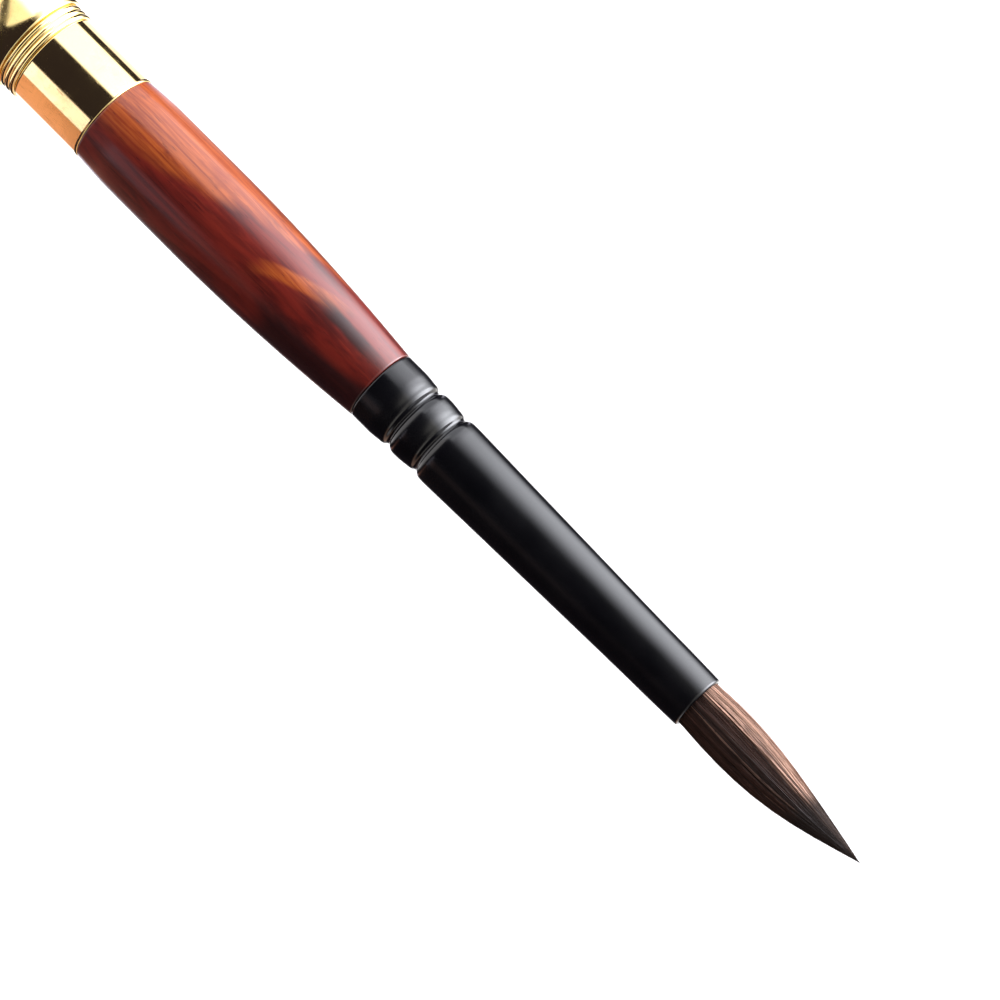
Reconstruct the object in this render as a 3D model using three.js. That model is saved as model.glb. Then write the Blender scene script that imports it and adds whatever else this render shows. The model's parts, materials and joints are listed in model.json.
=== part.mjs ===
// A pen-style calligraphy brush that carries its own ink. From the tail to the tip: a gold finial, a
// rosewood barrel, a gold bell, a gold beaded ring and collar, a rosewood grip, a black brush head and
// the hair. The grip slides out of the barrel's mouth and brings the ink converter with it, the brush
// head screws out of the grip, and the converter's knob draws its piston back.
//
// Millimetres. The axis of every piece is +Z. z = 0 is the finial's flat end face.
import * as THREE from "three";

// ---- Driving lengths along the axis ----
const FINIAL_LENGTH = 9;
const TAIL_RING_LENGTH = 2.4;
const BARREL_LENGTH = 66;
const BELL_LENGTH = 7;
const BEAD_BAND_LENGTH = 1.9;
const COLLAR_LENGTH = 8.7;
const GRIP_LENGTH = 36.7;
const FERRULE_LENGTH = 42.7;
const TUFT_LENGTH = 21.1;

// ---- Outer radii ----
const BARREL_TAIL_RADIUS = 5.75;
const BARREL_FRONT_RADIUS = 6.3;
const COLLAR_RADIUS = 4.99;
const GRIP_GIRTH_RADIUS = 5.12;
const GRIP_FRONT_RADIUS = 3.875;
const FERRULE_MOUTH_RADIUS = 2.9;
const TUFT_TIP_RADIUS = 0.08;

// ---- Radial steps from one piece to the next ----
const FINIAL_STEP = 0.15; // finial's girth over the barrel's tail
const FINIAL_EDGE = 0.9; // rounding of the finial's end face
const FINIAL_WAIST = 0.65; // depth of the finial's hollow neck
const TAIL_RING_STEP = 0.15; // over the finial
const BELL_RIM_STEP = 0.35; // over the barrel's front
const BELL_MOUTH_STEP = 0.21; // over the beads
const BEAD_STEP = 0.25; // over the collar
const GRIP_REAR_STEP = 0.06; // under the collar
const FERRULE_REAR_STEP = 0.025; // under the grip's front
const FERRULE_RING_STEP = 0.15; // under the ferrule's rear
const FERRULE_SHOULDER_STEP = 0.06; // under the ring between the grooves
const TUFT_SWELL = 0.14; // over the hair's root

// ---- Clearances ----
const SEAT_CLEARANCE = 0.05; // radial, between a glued or pressed piece and its seat
const RUNNING_CLEARANCE = 0.05; // radial, between pieces that turn or slide in each other
const END_CLEARANCE = 0.2; // along the axis, at the inner end of a socket
const CONVERTER_CLEARANCE = 0.15; // radial, between the converter and the mouth bush
const CONVERTER_TAIL_CLEARANCE = 7.6; // along the axis, between the knob and the tail plug
const INK_TUBE_CLEARANCE = 0.1; // radial, between the ink tube and the grip's liner
const KNOB_FLANGE_CLEARANCE = 0.25; // radial, between the knob's flange and the reservoir

// ---- Barrel ----
const FINIAL_NECK_REAR = 2.7;
const FINIAL_LIP = 0.9;
const BARREL_TAPER_POWER = 1.5;
const BARREL_LINER_RADIUS = 4.9;
const BARREL_LINER_WALL = 0.3;
const MOUTH_BUSH_WALL = 0.45;
const MOUTH_BUSH_DEPTH = 14;
const MOUTH_BUSH_RECESS = 0.2;
const BELL_RIM_HEIGHT = 2.2; // from the wood to the bell's widest girth
const BELL_FLARE_POWER = 1.4;
const TAIL_PLUG_LENGTH = 5;
const STUD_RADIUS = 1.5;
const STUD_DEPTH_IN_FINIAL = 5.3;
const STUD_DEPTH_IN_PLUG = 4.6;
const STUD_CHAMFER = 0.4;

// ---- Coupling between the barrel and the grip ----
const SPIGOT_LENGTH = 10; // the part of it behind the beaded ring, which enters the barrel
const SPIGOT_CHAMFER = 0.3;
const O_RING_GROOVE_DEPTH = 0.5;
const O_RING_GROOVE_WIDTH = 1.2;
const COUPLING_GROOVE_FROM_END = 2.2;
const LINER_SOCKET_DEPTH = 5;
const SPIGOT_WALL = 0.3; // between the O-ring's groove and the converter's socket
const CONVERTER_SOCKET_FRONT = 0.3; // in front of the bead band's rear face

// ---- Bead band ----
const BEAD_COUNT = 3;
const BEAD_STEPS = 4;

// ---- Grip ----
const GRIP_SWELL_LENGTH = 4; // from the rear face to the full girth
const GRIP_TAPER_START = 13.4; // from the rear face
const GRIP_TAPER_POWER = 1.8;
const GRIP_LINER_RADIUS = 2.9;
const GRIP_LINER_WALL = 0.4;

// ---- Ink way ----
const NOZZLE_RADIUS = 1.2;
const NOZZLE_BORE_RADIUS = 0.7;
const NOZZLE_LENGTH = 6;
const NOZZLE_FLANGE_THICKNESS = 1;
const NOZZLE_FRONT_RADIUS = 1.6;
const NOZZLE_FRONT_OVERLAP = 4; // inside the ink tube
const FEED_CORE_RADIUS = 1.2;
const FEED_CORE_OVERLAP = 4; // inside the ink tube's front end

// ---- Converter ----
const RESERVOIR_WALL = 0.55;
const RESERVOIR_CONE = 1;
const RESERVOIR_FRONT_WALL = 0.9;
const SEAL_LENGTH = 4.3;
const SEAL_LAND = 1; // at each end of the seal, at full radius
const SEAL_WAIST = 0.45;
const PISTON_HEAD_INSET = 0.5; // radial, inside the reservoir's bore
const PISTON_HEAD_THICKNESS = 0.5;
const PISTON_NECK_RADIUS = 1.4;
const PISTON_ROD_RADIUS = 1;
const PISTON_ROD_HOLD = 2; // what stays inside the knob's bore when the piston is in front
const PISTON_END_CLEARANCE = 3.75; // between the seal and the knob's neck at full travel
const CONVERTER_COLLAR_LENGTH = 10;
const CONVERTER_COLLAR_WALL = 0.3;
const CONVERTER_COLLAR_END = 1.2;
const KNOB_INSET = 0.45; // radial, under the converter's collar
const KNOB_END_WALL = 1.35; // behind the knob's bore
const KNOB_FLANGE_STEP = 0.6; // over the knob's neck
const KNOB_FLANGE_THICKNESS = 0.8;
const KNOB_CHAMFER = 0.6;
const KNOB_NECK_TIP = 1.6; // in front of the flange

// ---- Brush head ----
const HEAD_SPIGOT_LENGTH = 7;
const HEAD_GROOVE_FROM_SHOULDER = 0.5;
const FIRST_GROOVE_CENTRE = 4.57; // from the grip's front face
const SECOND_GROOVE_CENTRE = 8.17;
const GROOVE_WIDTH = 0.9;
const GROOVE_DEPTH = 0.34;
const GROOVE_REAR_SHOULDER = 1.8; // long rounding behind a groove, along the axis
const GROOVE_REAR_DROP = 0.2;
const GROOVE_REAR_POWER = 1.6;
const GROOVE_FRONT_SHOULDER = 0.45; // short rounding in front of a groove, along the axis
const GROOVE_EDGE_SHARE = 0.3; // of the depth, at the front edge of its width
const FERRULE_CHAMFER = 0.15;
const FERRULE_TAPER_START = 10.2; // from the grip's front face
const FERRULE_TAPER_POWER = 1.1;
const FERRULE_MOUTH_WALL = 0.4;
const HAIR_SOCKET_DEPTH = 10;
const RESIN_LENGTH = 2;
const BINDING_LENGTH = 2;
const BINDING_THICKNESS = 0.2;
const BINDING_FROM_RESIN = 0.6;
const FEED_CORE_IN_HAIR = 3;

// ---- Hair ----
const BEND_CENTRE = 3.6; // from the ferrule's mouth
const BEND_CLEARANCE = 0.15;
const BEND_LIMIT = 30; // degrees
const TUFT_TAPER_POWER = 1.75;
const TUFT_POINT_POWER = 0.92;

// ---- Roundness ----
const OUTER_SIDES = 32;
const INNER_SIDES = 24;

// ---- Places along the axis ----
const TAIL_RING_REAR = FINIAL_LENGTH;
const BARREL_REAR = TAIL_RING_REAR + TAIL_RING_LENGTH;
const BELL_REAR = BARREL_REAR + BARREL_LENGTH;
const BARREL_MOUTH = BELL_REAR + BELL_LENGTH;
const COLLAR_REAR = BARREL_MOUTH + BEAD_BAND_LENGTH;
const GRIP_REAR = COLLAR_REAR + COLLAR_LENGTH;
const GRIP_FRONT = GRIP_REAR + GRIP_LENGTH;
const FERRULE_MOUTH = GRIP_FRONT + FERRULE_LENGTH;
const BRUSH_TIP = FERRULE_MOUTH + TUFT_LENGTH;

const SPIGOT_END = BARREL_MOUTH - SPIGOT_LENGTH;
const CONVERTER_SOCKET_END = BARREL_MOUTH + CONVERTER_SOCKET_FRONT;
const LINER_REAR = GRIP_REAR - LINER_SOCKET_DEPTH;
const INK_TUBE_REAR = LINER_REAR + END_CLEARANCE;
const HEAD_SPIGOT_END = GRIP_FRONT - HEAD_SPIGOT_LENGTH;
const INK_TUBE_FRONT = HEAD_SPIGOT_END - END_CLEARANCE;
const HAIR_SOCKET_END = FERRULE_MOUTH - HAIR_SOCKET_DEPTH;
const RESIN_FRONT = HAIR_SOCKET_END + RESIN_LENGTH;
const BEND_Z = FERRULE_MOUTH + BEND_CENTRE;

const RESERVOIR_FRONT = SPIGOT_END - END_CLEARANCE;
const INK_FRONT = RESERVOIR_FRONT - RESERVOIR_FRONT_WALL - RESERVOIR_CONE;
const PISTON_FRONT = INK_FRONT - END_CLEARANCE;
const SEAL_FRONT = PISTON_FRONT - PISTON_HEAD_THICKNESS;
const SEAL_REAR = SEAL_FRONT - SEAL_LENGTH;
const KNOB_REAR = BARREL_REAR + TAIL_PLUG_LENGTH + CONVERTER_TAIL_CLEARANCE;
const KNOB_BORE_END = KNOB_REAR + KNOB_END_WALL;
// The travel is taken twice: by the rod in the knob's bore and by the seal in the reservoir.
const PISTON_TRAVEL = (SEAL_REAR - KNOB_BORE_END - END_CLEARANCE - PISTON_ROD_HOLD
  - PISTON_END_CLEARANCE) / 2;
const PISTON_ROD_END = KNOB_BORE_END + END_CLEARANCE + PISTON_TRAVEL;
const KNOB_NECK_FRONT = PISTON_ROD_END + PISTON_ROD_HOLD;
const KNOB_FLANGE_REAR = KNOB_NECK_FRONT - KNOB_NECK_TIP - KNOB_FLANGE_THICKNESS;
const RESERVOIR_END = KNOB_FLANGE_REAR - RUNNING_CLEARANCE;
const CONVERTER_COLLAR_REAR = RESERVOIR_END - CONVERTER_COLLAR_END;
const KNOB_FRONT = CONVERTER_COLLAR_REAR - END_CLEARANCE;

// ---- Radii that follow from their neighbours ----
const FINIAL_RADIUS = BARREL_TAIL_RADIUS + FINIAL_STEP;
const TAIL_RING_RADIUS = FINIAL_RADIUS + TAIL_RING_STEP;
const BELL_RIM_RADIUS = BARREL_FRONT_RADIUS + BELL_RIM_STEP;
const BEAD_RADIUS = COLLAR_RADIUS + BEAD_STEP;
const BELL_MOUTH_RADIUS = BEAD_RADIUS + BELL_MOUTH_STEP;
const GRIP_REAR_RADIUS = COLLAR_RADIUS - GRIP_REAR_STEP;
const FERRULE_REAR_RADIUS = GRIP_FRONT_RADIUS - FERRULE_REAR_STEP;
const FERRULE_RING_RADIUS = FERRULE_REAR_RADIUS - FERRULE_RING_STEP;
const FERRULE_SHOULDER_RADIUS = FERRULE_RING_RADIUS - FERRULE_SHOULDER_STEP;
const BARREL_BORE = BARREL_LINER_RADIUS + SEAT_CLEARANCE;
const BARREL_LINER_BORE = BARREL_LINER_RADIUS - BARREL_LINER_WALL;
const MOUTH_BUSH_RADIUS = BARREL_LINER_BORE - SEAT_CLEARANCE;
const MOUTH_BUSH_BORE = MOUTH_BUSH_RADIUS - MOUTH_BUSH_WALL;
const BELL_BORE = MOUTH_BUSH_RADIUS + SEAT_CLEARANCE;
const SPIGOT_RADIUS = MOUTH_BUSH_BORE - RUNNING_CLEARANCE;
const COLLAR_BORE = SPIGOT_RADIUS + SEAT_CLEARANCE;
const SPIGOT_GROOVE_RADIUS = SPIGOT_RADIUS - O_RING_GROOVE_DEPTH;
const CONVERTER_SOCKET_RADIUS = SPIGOT_GROOVE_RADIUS - SPIGOT_WALL;
const CONVERTER_COLLAR_RADIUS = MOUTH_BUSH_BORE - CONVERTER_CLEARANCE;
const CONVERTER_COLLAR_BORE = CONVERTER_COLLAR_RADIUS - CONVERTER_COLLAR_WALL;
const RESERVOIR_RADIUS = CONVERTER_COLLAR_BORE - SEAT_CLEARANCE;
const RESERVOIR_BORE = RESERVOIR_RADIUS - RESERVOIR_WALL;
const KNOB_RADIUS = CONVERTER_COLLAR_RADIUS - KNOB_INSET;
const KNOB_FLANGE_RADIUS = RESERVOIR_BORE - KNOB_FLANGE_CLEARANCE;
const KNOB_NECK_RADIUS = KNOB_FLANGE_RADIUS - KNOB_FLANGE_STEP;
const PISTON_HEAD_RADIUS = RESERVOIR_BORE - PISTON_HEAD_INSET;
const GRIP_BORE = GRIP_LINER_RADIUS + SEAT_CLEARANCE;
const GRIP_LINER_BORE = GRIP_LINER_RADIUS - GRIP_LINER_WALL;
const HEAD_SPIGOT_RADIUS = GRIP_LINER_BORE - RUNNING_CLEARANCE;
const HEAD_GROOVE_RADIUS = HEAD_SPIGOT_RADIUS - O_RING_GROOVE_DEPTH;
const INK_TUBE_RADIUS = GRIP_LINER_BORE - INK_TUBE_CLEARANCE;
const INK_TUBE_BORE = NOZZLE_FRONT_RADIUS + SEAT_CLEARANCE;
const FEED_CORE_SEAT = FEED_CORE_RADIUS + SEAT_CLEARANCE;
const HAIR_SOCKET_RADIUS = FERRULE_MOUTH_RADIUS - FERRULE_MOUTH_WALL;
const HAIR_ROOT_RADIUS = HAIR_SOCKET_RADIUS - SEAT_CLEARANCE;
const TUFT_GIRTH_RADIUS = HAIR_ROOT_RADIUS + TUFT_SWELL;
const STUD_SEAT = STUD_RADIUS + SEAT_CLEARANCE;

// ---- Finishes ----
const gold = () => new THREE.MeshStandardMaterial({ color: 0xf2c66d, roughness: 0.12, metalness: 1 });
const brass = () => new THREE.MeshStandardMaterial({ color: 0xb8934a, roughness: 0.35, metalness: 1 });
const rosewood = () => new THREE.MeshStandardMaterial({ color: 0x7d2a1a, roughness: 0.28, metalness: 0 });
const blackLacquer = () => new THREE.MeshStandardMaterial({ color: 0x0a0a0d, roughness: 0.25, metalness: 0 });
const hair = () => new THREE.MeshStandardMaterial({ color: 0x4a2c22, roughness: 0.6, metalness: 0 });
const rubber = () => new THREE.MeshStandardMaterial({ color: 0x151515, roughness: 0.7, metalness: 0 });
const clearPlastic = () => new THREE.MeshStandardMaterial({
  color: 0xdfe6ea, roughness: 0.1, metalness: 0, transparent: true, opacity: 0.4,
});
const whitePlastic = () => new THREE.MeshStandardMaterial({ color: 0xe8e6e0, roughness: 0.5, metalness: 0 });
const resin = () => new THREE.MeshStandardMaterial({ color: 0xc98f3a, roughness: 0.3, metalness: 0 });
const thread = () => new THREE.MeshStandardMaterial({ color: 0xd8d0bc, roughness: 0.8, metalness: 0 });

const brush = new THREE.Group();

// Adds a turned piece. The section is a list of [radius, z] points that either starts and ends on the
// axis or is the whole way round a ring's section.
function turned(name, finish, sides, section) {
  const points = section.map(([radius, z]) => new THREE.Vector2(radius, z));
  if (THREE.ShapeUtils.area(points) < 0) points.reverse();
  const startsOnAxis = points[0].x === 0;
  if (!startsOnAxis) points.push(points[0].clone());
  const geometry = new THREE.LatheGeometry(points, sides);
  geometry.rotateX(Math.PI / 2);
  const piece = new THREE.Mesh(geometry, finish);
  piece.name = name;
  brush.add(piece);
}

// Adds a plain tube.
function tube(name, finish, sides, innerRadius, outerRadius, rear, front) {
  turned(name, finish, sides, [
    [innerRadius, rear],
    [outerRadius, rear],
    [outerRadius, front],
    [innerRadius, front],
  ]);
}

// Points from start to end, where across(t) and along(t) take t from 0 to 1.
function sweep(steps, across, along) {
  return Array.from({ length: steps + 1 }, (_, i) => [across(i / steps), along(i / steps)]);
}

const mix = (a, b, t) => a + (b - a) * t;

// An O-ring of eight-sided section in a groove, clear of the groove's floor and of the bore round it.
function oRing(name, floorRadius, boreRadius, rear, width) {
  const inner = floorRadius + RUNNING_CLEARANCE;
  const outer = boreRadius - RUNNING_CLEARANCE / 2;
  const halfDepth = (outer - inner) / 2;
  const halfWidth = width / 2 - RUNNING_CLEARANCE;
  const steps = 8;
  const section = sweep(
    steps,
    (t) => inner + halfDepth + halfDepth * Math.cos(2 * Math.PI * t),
    (t) => rear + width / 2 + halfWidth * Math.sin(2 * Math.PI * t),
  );
  turned(name, rubber(), INNER_SIDES, section.slice(0, steps));
}

// ---- Barrel and tail ----
function tailFinial() {
  turned("tail_finial", gold(), OUTER_SIDES, [
    [0, 0],
    ...sweep(
      4,
      (t) => FINIAL_RADIUS - FINIAL_EDGE * (1 - Math.sin(t * Math.PI / 2)),
      (t) => FINIAL_EDGE * (1 - Math.cos(t * Math.PI / 2)),
    ),
    ...sweep(
      4,
      (t) => FINIAL_RADIUS - FINIAL_WAIST * Math.sin(t * Math.PI),
      (t) => mix(FINIAL_NECK_REAR, FINIAL_LENGTH - FINIAL_LIP, t),
    ),
    [FINIAL_RADIUS, FINIAL_LENGTH],
    [STUD_SEAT, FINIAL_LENGTH],
    [STUD_SEAT, FINIAL_LENGTH - STUD_DEPTH_IN_FINIAL],
    [0, FINIAL_LENGTH - STUD_DEPTH_IN_FINIAL],
  ]);
}

function tailRing() {
  turned("tail_ring", gold(), OUTER_SIDES, [
    [STUD_SEAT, TAIL_RING_REAR],
    ...sweep(
      4,
      (t) => FINIAL_RADIUS + (TAIL_RING_RADIUS - FINIAL_RADIUS) * Math.sin(t * Math.PI),
      (t) => TAIL_RING_REAR + TAIL_RING_LENGTH * t,
    ),
    [STUD_SEAT, BARREL_REAR],
  ]);
}

function tailPlug() {
  const radius = BARREL_LINER_BORE - SEAT_CLEARANCE;
  tube("tail_plug", brass(), INNER_SIDES, STUD_SEAT, radius, BARREL_REAR, BARREL_REAR + TAIL_PLUG_LENGTH);
}

function finialStud() {
  const rear = FINIAL_LENGTH - STUD_DEPTH_IN_FINIAL + END_CLEARANCE;
  const front = BARREL_REAR + STUD_DEPTH_IN_PLUG;
  turned("finial_stud", brass(), INNER_SIDES, [
    [0, rear],
    [STUD_RADIUS - STUD_CHAMFER, rear],
    [STUD_RADIUS, rear + STUD_CHAMFER],
    [STUD_RADIUS, front - STUD_CHAMFER],
    [STUD_RADIUS - STUD_CHAMFER, front],
    [0, front],
  ]);
}

function barrelSleeve() {
  turned("barrel_sleeve", rosewood(), OUTER_SIDES, [
    [BARREL_BORE, BARREL_REAR],
    ...sweep(
      5,
      (t) => mix(BARREL_FRONT_RADIUS, BARREL_TAIL_RADIUS, (1 - t) ** BARREL_TAPER_POWER),
      (t) => mix(BARREL_REAR, BELL_REAR, t),
    ),
    [BARREL_BORE, BELL_REAR],
  ]);
}

function barrelLiner() {
  tube("barrel_liner", brass(), INNER_SIDES, BARREL_LINER_BORE, BARREL_LINER_RADIUS, BARREL_REAR, BELL_REAR);
}

// The bell widens from the barrel's mouth to its rim in a hollow curve, and turns in to the wood.
function bellCollar() {
  const rimZ = BELL_REAR + BELL_RIM_HEIGHT;
  turned("bell_collar", gold(), OUTER_SIDES, [
    [BELL_BORE, BELL_REAR],
    ...sweep(
      3,
      (t) => mix(BARREL_FRONT_RADIUS, BELL_RIM_RADIUS, Math.sin(t * Math.PI / 2)),
      (t) => mix(BELL_REAR, rimZ, t),
    ),
    ...sweep(
      5,
      (t) => mix(BELL_MOUTH_RADIUS, BELL_RIM_RADIUS, (1 - t) ** BELL_FLARE_POWER),
      (t) => mix(rimZ, BARREL_MOUTH, t),
    ).slice(1),
    [BELL_BORE, BARREL_MOUTH],
  ]);
}

function mouthBush() {
  const front = BARREL_MOUTH - MOUTH_BUSH_RECESS;
  const rear = front - MOUTH_BUSH_DEPTH;
  tube("mouth_bush", brass(), INNER_SIDES, MOUTH_BUSH_BORE, MOUTH_BUSH_RADIUS, rear, front);
}

// ---- Grip ----
function beadedRing() {
  const beadLength = BEAD_BAND_LENGTH / BEAD_COUNT;
  const beadHeight = beadLength / 2;
  const beads = Array.from({ length: BEAD_COUNT }, (_, bead) => sweep(
    BEAD_STEPS,
    (t) => BEAD_RADIUS - beadHeight + beadHeight * Math.sin(t * Math.PI),
    (t) => BARREL_MOUTH + beadLength * (bead + 0.5 - 0.5 * Math.cos(t * Math.PI)),
  ).slice(bead === 0 ? 0 : 1));
  turned("beaded_ring", gold(), OUTER_SIDES, [
    [COLLAR_BORE, BARREL_MOUTH],
    ...beads.flat(),
    [COLLAR_BORE, COLLAR_REAR],
  ]);
}

function centreCollar() {
  tube("centre_collar", gold(), OUTER_SIDES, COLLAR_BORE, COLLAR_RADIUS, COLLAR_REAR, GRIP_REAR);
}

function gripSleeve() {
  turned("grip_sleeve", rosewood(), OUTER_SIDES, [
    [GRIP_BORE, GRIP_REAR],
    ...sweep(
      3,
      (t) => mix(GRIP_REAR_RADIUS, GRIP_GIRTH_RADIUS, Math.sin(t * Math.PI / 2)),
      (t) => GRIP_REAR + GRIP_SWELL_LENGTH * t,
    ),
    ...sweep(
      7,
      (t) => mix(GRIP_GIRTH_RADIUS, GRIP_FRONT_RADIUS, t ** GRIP_TAPER_POWER),
      (t) => mix(GRIP_REAR + GRIP_TAPER_START, GRIP_FRONT, t),
    ),
    [GRIP_BORE, GRIP_FRONT],
  ]);
}

function gripLiner() {
  tube("grip_liner", brass(), INNER_SIDES, GRIP_LINER_BORE, GRIP_LINER_RADIUS, LINER_REAR, GRIP_FRONT);
}

// The coupling carries the collar and the beaded ring, slides into the barrel's mouth bush, and takes
// the grip's liner in its front end and the converter's neck in its rear end.
function couplingSpigot() {
  const grooveRear = SPIGOT_END + COUPLING_GROOVE_FROM_END;
  turned("coupling_spigot", brass(), INNER_SIDES, [
    [CONVERTER_SOCKET_RADIUS, SPIGOT_END],
    [SPIGOT_RADIUS - SPIGOT_CHAMFER, SPIGOT_END],
    [SPIGOT_RADIUS, SPIGOT_END + SPIGOT_CHAMFER],
    [SPIGOT_RADIUS, grooveRear],
    [SPIGOT_GROOVE_RADIUS, grooveRear],
    [SPIGOT_GROOVE_RADIUS, grooveRear + O_RING_GROOVE_WIDTH],
    [SPIGOT_RADIUS, grooveRear + O_RING_GROOVE_WIDTH],
    [SPIGOT_RADIUS, GRIP_REAR],
    [GRIP_BORE, GRIP_REAR],
    [GRIP_BORE, LINER_REAR],
    [INK_TUBE_BORE, LINER_REAR],
    [INK_TUBE_BORE, CONVERTER_SOCKET_END],
    [CONVERTER_SOCKET_RADIUS, CONVERTER_SOCKET_END],
  ]);
}

function couplingORing() {
  const rear = SPIGOT_END + COUPLING_GROOVE_FROM_END;
  oRing("coupling_o_ring", SPIGOT_GROOVE_RADIUS, MOUTH_BUSH_BORE, rear, O_RING_GROOVE_WIDTH);
}

// ---- Ink way ----
function feedNozzle() {
  const flangeRear = CONVERTER_SOCKET_END - NOZZLE_FLANGE_THICKNESS;
  const flangeRadius = CONVERTER_SOCKET_RADIUS - SEAT_CLEARANCE;
  turned("feed_nozzle", whitePlastic(), INNER_SIDES, [
    [NOZZLE_BORE_RADIUS, flangeRear - NOZZLE_LENGTH],
    [NOZZLE_RADIUS, flangeRear - NOZZLE_LENGTH],
    [NOZZLE_RADIUS, flangeRear],
    [flangeRadius, flangeRear],
    [flangeRadius, CONVERTER_SOCKET_END],
    [NOZZLE_FRONT_RADIUS, CONVERTER_SOCKET_END],
    [NOZZLE_FRONT_RADIUS, INK_TUBE_REAR + NOZZLE_FRONT_OVERLAP],
    [NOZZLE_BORE_RADIUS, INK_TUBE_REAR + NOZZLE_FRONT_OVERLAP],
  ]);
}

function inkTube() {
  const [rear, front] = [INK_TUBE_REAR, INK_TUBE_FRONT];
  tube("ink_tube", whitePlastic(), INNER_SIDES, INK_TUBE_BORE, INK_TUBE_RADIUS, rear, front);
}

function feedCore() {
  const front = RESIN_FRONT + FEED_CORE_IN_HAIR;
  turned("feed_core", thread(), INNER_SIDES, [
    [0, INK_TUBE_FRONT - FEED_CORE_OVERLAP],
    [FEED_CORE_RADIUS, INK_TUBE_FRONT - FEED_CORE_OVERLAP],
    [FEED_CORE_RADIUS, front - FEED_CORE_RADIUS],
    [0, front],
  ]);
}

// ---- Converter ----
function inkReservoir() {
  const neckRadius = CONVERTER_SOCKET_RADIUS - SEAT_CLEARANCE;
  const neckBore = NOZZLE_RADIUS + SEAT_CLEARANCE;
  const neckFront = CONVERTER_SOCKET_END - NOZZLE_FLANGE_THICKNESS - END_CLEARANCE;
  turned("ink_reservoir", clearPlastic(), INNER_SIDES, [
    [RESERVOIR_BORE, RESERVOIR_END],
    [RESERVOIR_RADIUS, RESERVOIR_END],
    [RESERVOIR_RADIUS, RESERVOIR_FRONT],
    [neckRadius, RESERVOIR_FRONT],
    [neckRadius, neckFront],
    [neckBore, neckFront],
    [neckBore, INK_FRONT + RESERVOIR_CONE],
    [RESERVOIR_BORE, INK_FRONT],
  ]);
}

function converterCollar() {
  const knobHole = KNOB_NECK_RADIUS + RUNNING_CLEARANCE;
  turned("converter_collar", gold(), INNER_SIDES, [
    [knobHole, CONVERTER_COLLAR_REAR],
    [CONVERTER_COLLAR_RADIUS, CONVERTER_COLLAR_REAR],
    [CONVERTER_COLLAR_RADIUS, RESERVOIR_END + CONVERTER_COLLAR_LENGTH],
    [CONVERTER_COLLAR_BORE, RESERVOIR_END + CONVERTER_COLLAR_LENGTH],
    [CONVERTER_COLLAR_BORE, RESERVOIR_END],
    [knobHole, RESERVOIR_END],
  ]);
}

// The knob's neck runs through the converter collar's end, and a flange keeps it there. Its blind bore
// takes the piston rod at full travel.
function converterKnob() {
  const bore = PISTON_ROD_RADIUS + RUNNING_CLEARANCE;
  turned("converter_knob", blackLacquer(), INNER_SIDES, [
    [0, KNOB_REAR],
    [KNOB_RADIUS - KNOB_CHAMFER, KNOB_REAR],
    [KNOB_RADIUS, KNOB_REAR + KNOB_CHAMFER],
    [KNOB_RADIUS, KNOB_FRONT],
    [KNOB_NECK_RADIUS, KNOB_FRONT],
    [KNOB_NECK_RADIUS, KNOB_FLANGE_REAR],
    [KNOB_FLANGE_RADIUS, KNOB_FLANGE_REAR],
    [KNOB_FLANGE_RADIUS, KNOB_FLANGE_REAR + KNOB_FLANGE_THICKNESS],
    [KNOB_NECK_RADIUS, KNOB_FLANGE_REAR + KNOB_FLANGE_THICKNESS],
    [KNOB_NECK_RADIUS, KNOB_NECK_FRONT],
    [bore, KNOB_NECK_FRONT],
    [bore, KNOB_BORE_END],
    [0, KNOB_BORE_END],
  ]);
}

function pistonRod() {
  turned("piston_rod", whitePlastic(), INNER_SIDES, [
    [0, PISTON_ROD_END],
    [PISTON_ROD_RADIUS, PISTON_ROD_END],
    [PISTON_ROD_RADIUS, SEAL_REAR],
    [PISTON_NECK_RADIUS, SEAL_REAR],
    [PISTON_NECK_RADIUS, SEAL_FRONT],
    [PISTON_HEAD_RADIUS, SEAL_FRONT],
    [PISTON_HEAD_RADIUS, PISTON_FRONT],
    [0, PISTON_FRONT],
  ]);
}

function pistonSeal() {
  const outer = RESERVOIR_BORE - RUNNING_CLEARANCE;
  const inner = PISTON_NECK_RADIUS + SEAT_CLEARANCE;
  turned("piston_seal", rubber(), INNER_SIDES, [
    [inner, SEAL_REAR],
    [outer, SEAL_REAR],
    [outer, SEAL_REAR + SEAL_LAND],
    [outer - SEAL_WAIST, SEAL_REAR + SEAL_LAND + SEAL_WAIST],
    [outer - SEAL_WAIST, SEAL_FRONT - SEAL_LAND - SEAL_WAIST],
    [outer, SEAL_FRONT - SEAL_LAND],
    [outer, SEAL_FRONT],
    [inner, SEAL_FRONT],
  ]);
}

// ---- Brush head ----
// A groove round the ferrule, from the rear to the front. The surface falls gently to it from behind
// and rises quickly in front.
function groove(centre, rearRadius, frontRadius) {
  const z = GRIP_FRONT + centre;
  const floor = Math.min(rearRadius, frontRadius) - GROOVE_DEPTH;
  const half = GROOVE_WIDTH / 2;
  return [
    ...sweep(
      3,
      (t) => rearRadius - GROOVE_REAR_DROP * t ** GROOVE_REAR_POWER,
      (t) => z - half - GROOVE_REAR_SHOULDER * (1 - t),
    ),
    [floor, z - half / 3],
    [floor, z + half / 3],
    [mix(frontRadius, floor, GROOVE_EDGE_SHARE), z + half],
    [frontRadius, z + half + GROOVE_FRONT_SHOULDER],
  ];
}

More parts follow.
